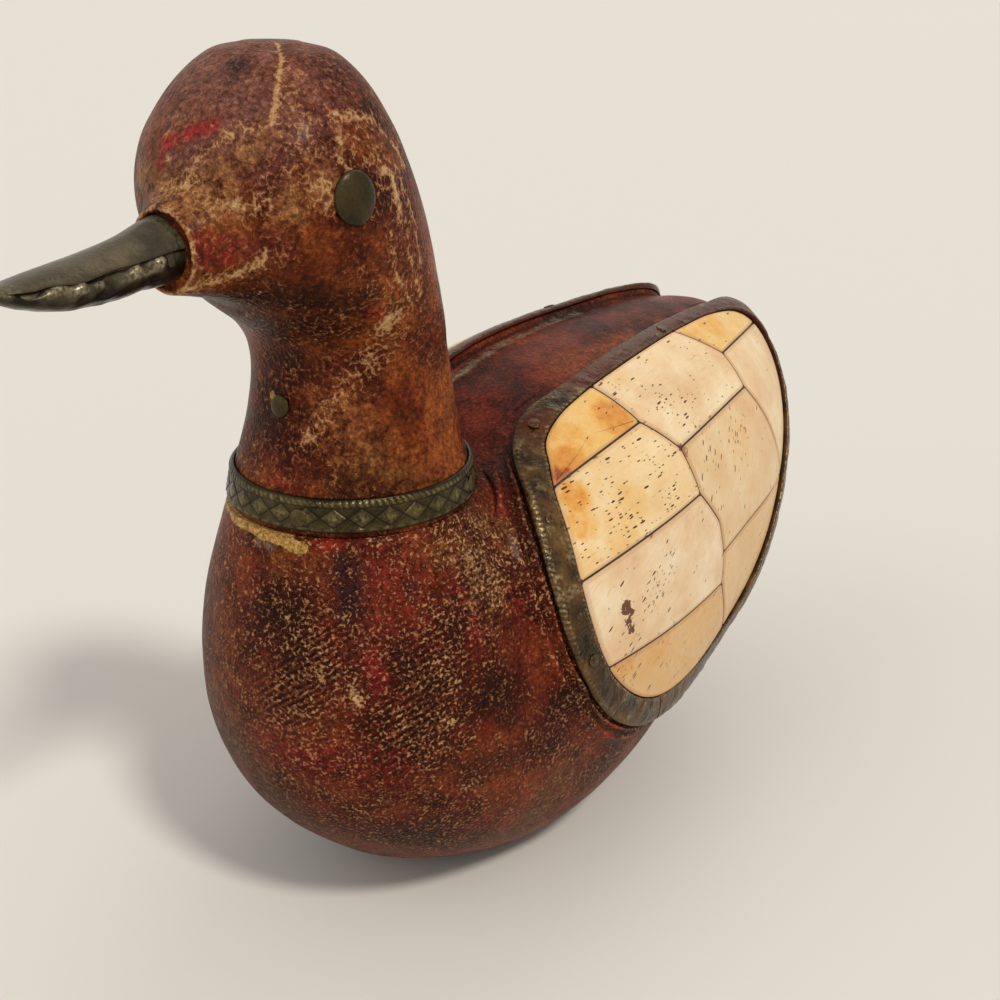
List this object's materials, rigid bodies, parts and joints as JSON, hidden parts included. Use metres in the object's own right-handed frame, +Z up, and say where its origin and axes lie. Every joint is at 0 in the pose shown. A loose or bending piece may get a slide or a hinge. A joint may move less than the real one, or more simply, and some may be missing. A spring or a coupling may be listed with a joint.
{
  "type": "carved wooden duck figurine",
  "caption": "Carved and painted wooden duck sitting on a flat keel, with a metal-clad bill, domed tack eyes, a metal collar and wings inlaid with bone plates inside hammered metal strips.",
  "frame": {"origin": "centre of the overall box in plan, at the height of the face that rests on the table", "axes": "+Z up, the duck faces -Y, its left wing is on the +X side"},
  "size_m": [0.0982, 0.2409, 0.188],
  "materials": {
    "painted_wood": "worn lacquered paint over a gesso ground",
    "bare_wood": "plain turned wood",
    "patinated_brass": "dark patina, hand hammered",
    "bone": "polished bone",
    "stained_bone": "polished bone with orange stain",
    "resin": "dark brown set resin"
  },
  "bodies": {
    "root": {"body_block": "painted_wood", "neck_and_head_block": "painted_wood", "neck_dowel": "bare_wood", "neck_nail": "patinated_brass", "bill_wood_core": "bare_wood", "bill_upper_sheet": "patinated_brass", "bill_lower_sheet": "patinated_brass", "collar_band": "patinated_brass", "collar_nail_1": "patinated_brass", "collar_nail_2": "patinated_brass", "collar_nail_3": "patinated_brass", "collar_nail_4": "patinated_brass", "left_eye_tack": "patinated_brass", "left_wing_resin_bed": "resin", "left_wing_plate_front_top": "stained_bone", "left_wing_plate_front_upper": "bone", "left_wing_plate_front_lower": "bone", "left_wing_plate_front_bottom": "bone", "left_wing_plate_middle_top": "bone", "left_wing_plate_middle_centre": "bone", "left_wing_plate_middle_bottom": "bone", "left_wing_plate_rear_top": "stained_bone", "left_wing_plate_rear_edge": "bone", "left_wing_front_strip": "patinated_brass", "left_wing_rear_strip": "patinated_brass", "left_wing_strip_nail_1": "patinated_brass", "left_wing_strip_nail_2": "patinated_brass", "left_wing_strip_nail_3": "patinated_brass", "left_wing_strip_nail_4": "patinated_brass", "left_wing_strip_nail_5": "patinated_brass", "left_wing_strip_nail_6": "patinated_brass", "right_eye_tack": "patinated_brass", "right_wing_resin_bed": "resin", "right_wing_plate_front_top": "stained_bone", "right_wing_plate_front_upper": "bone", "right_wing_plate_front_lower": "bone", "right_wing_plate_front_bottom": "bone", "right_wing_plate_middle_top": "bone", "right_wing_plate_middle_centre": "bone", "right_wing_plate_middle_bottom": "bone", "right_wing_plate_rear_top": "stained_bone", "right_wing_plate_rear_edge": "bone", "right_wing_front_strip": "patinated_brass", "right_wing_rear_strip": "patinated_brass", "right_wing_strip_nail_1": "patinated_brass", "right_wing_strip_nail_2": "patinated_brass", "right_wing_strip_nail_3": "patinated_brass", "right_wing_strip_nail_4": "patinated_brass", "right_wing_strip_nail_5": "patinated_brass", "right_wing_strip_nail_6": "patinated_brass"}
  },
  "joints": []
}
